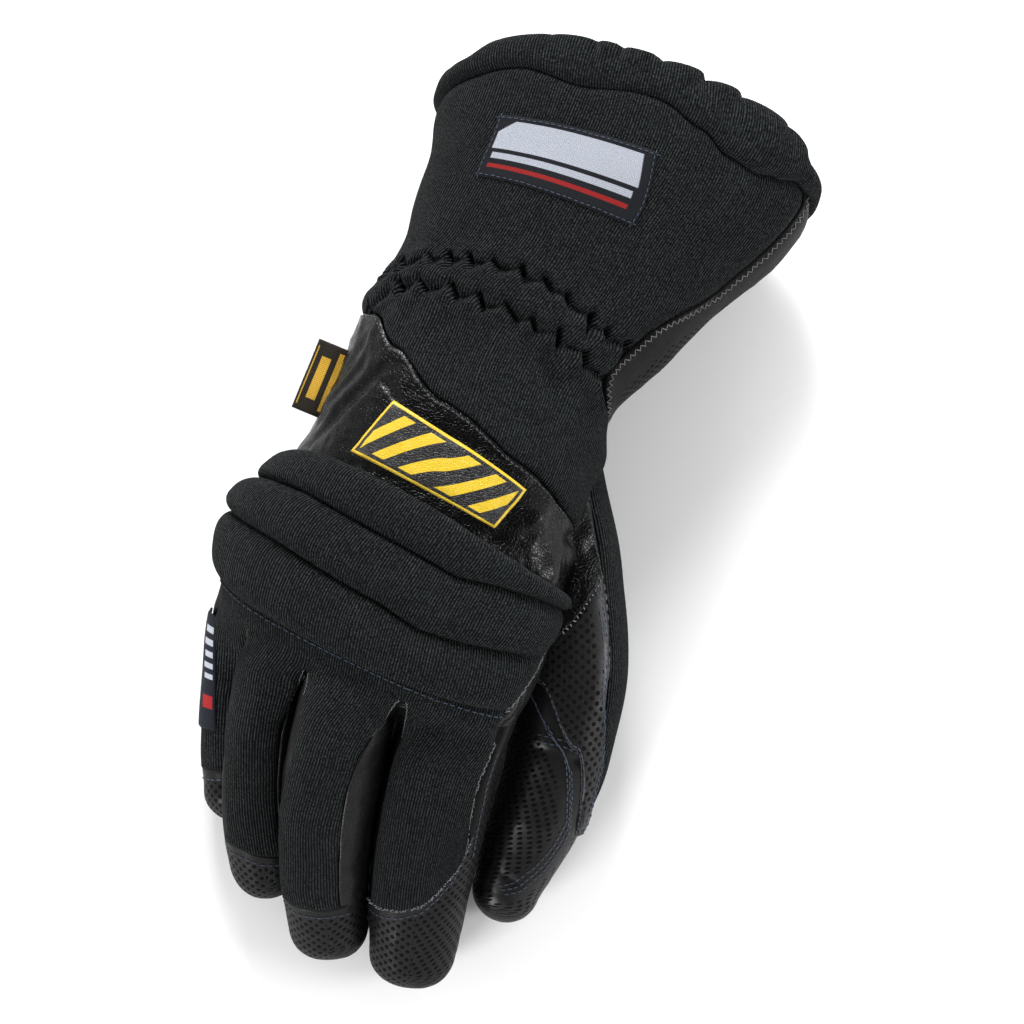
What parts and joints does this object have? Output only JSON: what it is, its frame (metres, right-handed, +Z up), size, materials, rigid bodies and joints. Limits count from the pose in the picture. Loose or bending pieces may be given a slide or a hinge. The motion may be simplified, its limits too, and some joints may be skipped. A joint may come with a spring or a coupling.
{
  "type": "fire-resistant glove",
  "caption": "Fire-resistant leather and knit work glove for the right hand, with a padded ribbed knuckle guard, gathered wrist and wide soft cuff, lying on its palm.",
  "frame": {"origin": "on the floor plane, under the middle of the heel of the palm, where the glove rests", "axes": "+Z up with the back of the hand facing up, -Y towards the fingertips and +Y towards the cuff, +X towards the thumb"},
  "size_m": [0.1618, 0.3134, 0.0711],
  "materials": {
    "knit": "charcoal fire-resistant knit with fine ribs",
    "patch": "glossy wrinkled coated leather with a printed stripe",
    "smooth_leather": "smooth dark leather",
    "dotted_leather": "dark leather with raised grip dots",
    "label": "woven navy label",
    "tape": "woven black and gold tape"
  },
  "bodies": {
    "root": {"cuff_hem": "knit", "knuckle_pad": "knit", "back_patch": "patch", "back_cloth": "knit", "thumb_saddle": "dotted_leather", "cuff_leather": "dotted_leather", "finger_backs": "knit", "fourchette_middle": "smooth_leather", "fourchette_ring": "smooth_leather", "fourchette_little": "smooth_leather", "thumb_back": "knit", "palm": "dotted_leather", "index_front": "dotted_leather", "middle_front": "dotted_leather", "ring_front": "dotted_leather", "little_front": "dotted_leather", "thumb_front": "dotted_leather", "cuff_label": "label", "side_label": "label", "pull_tag": "tape"}
  },
  "joints": []
}
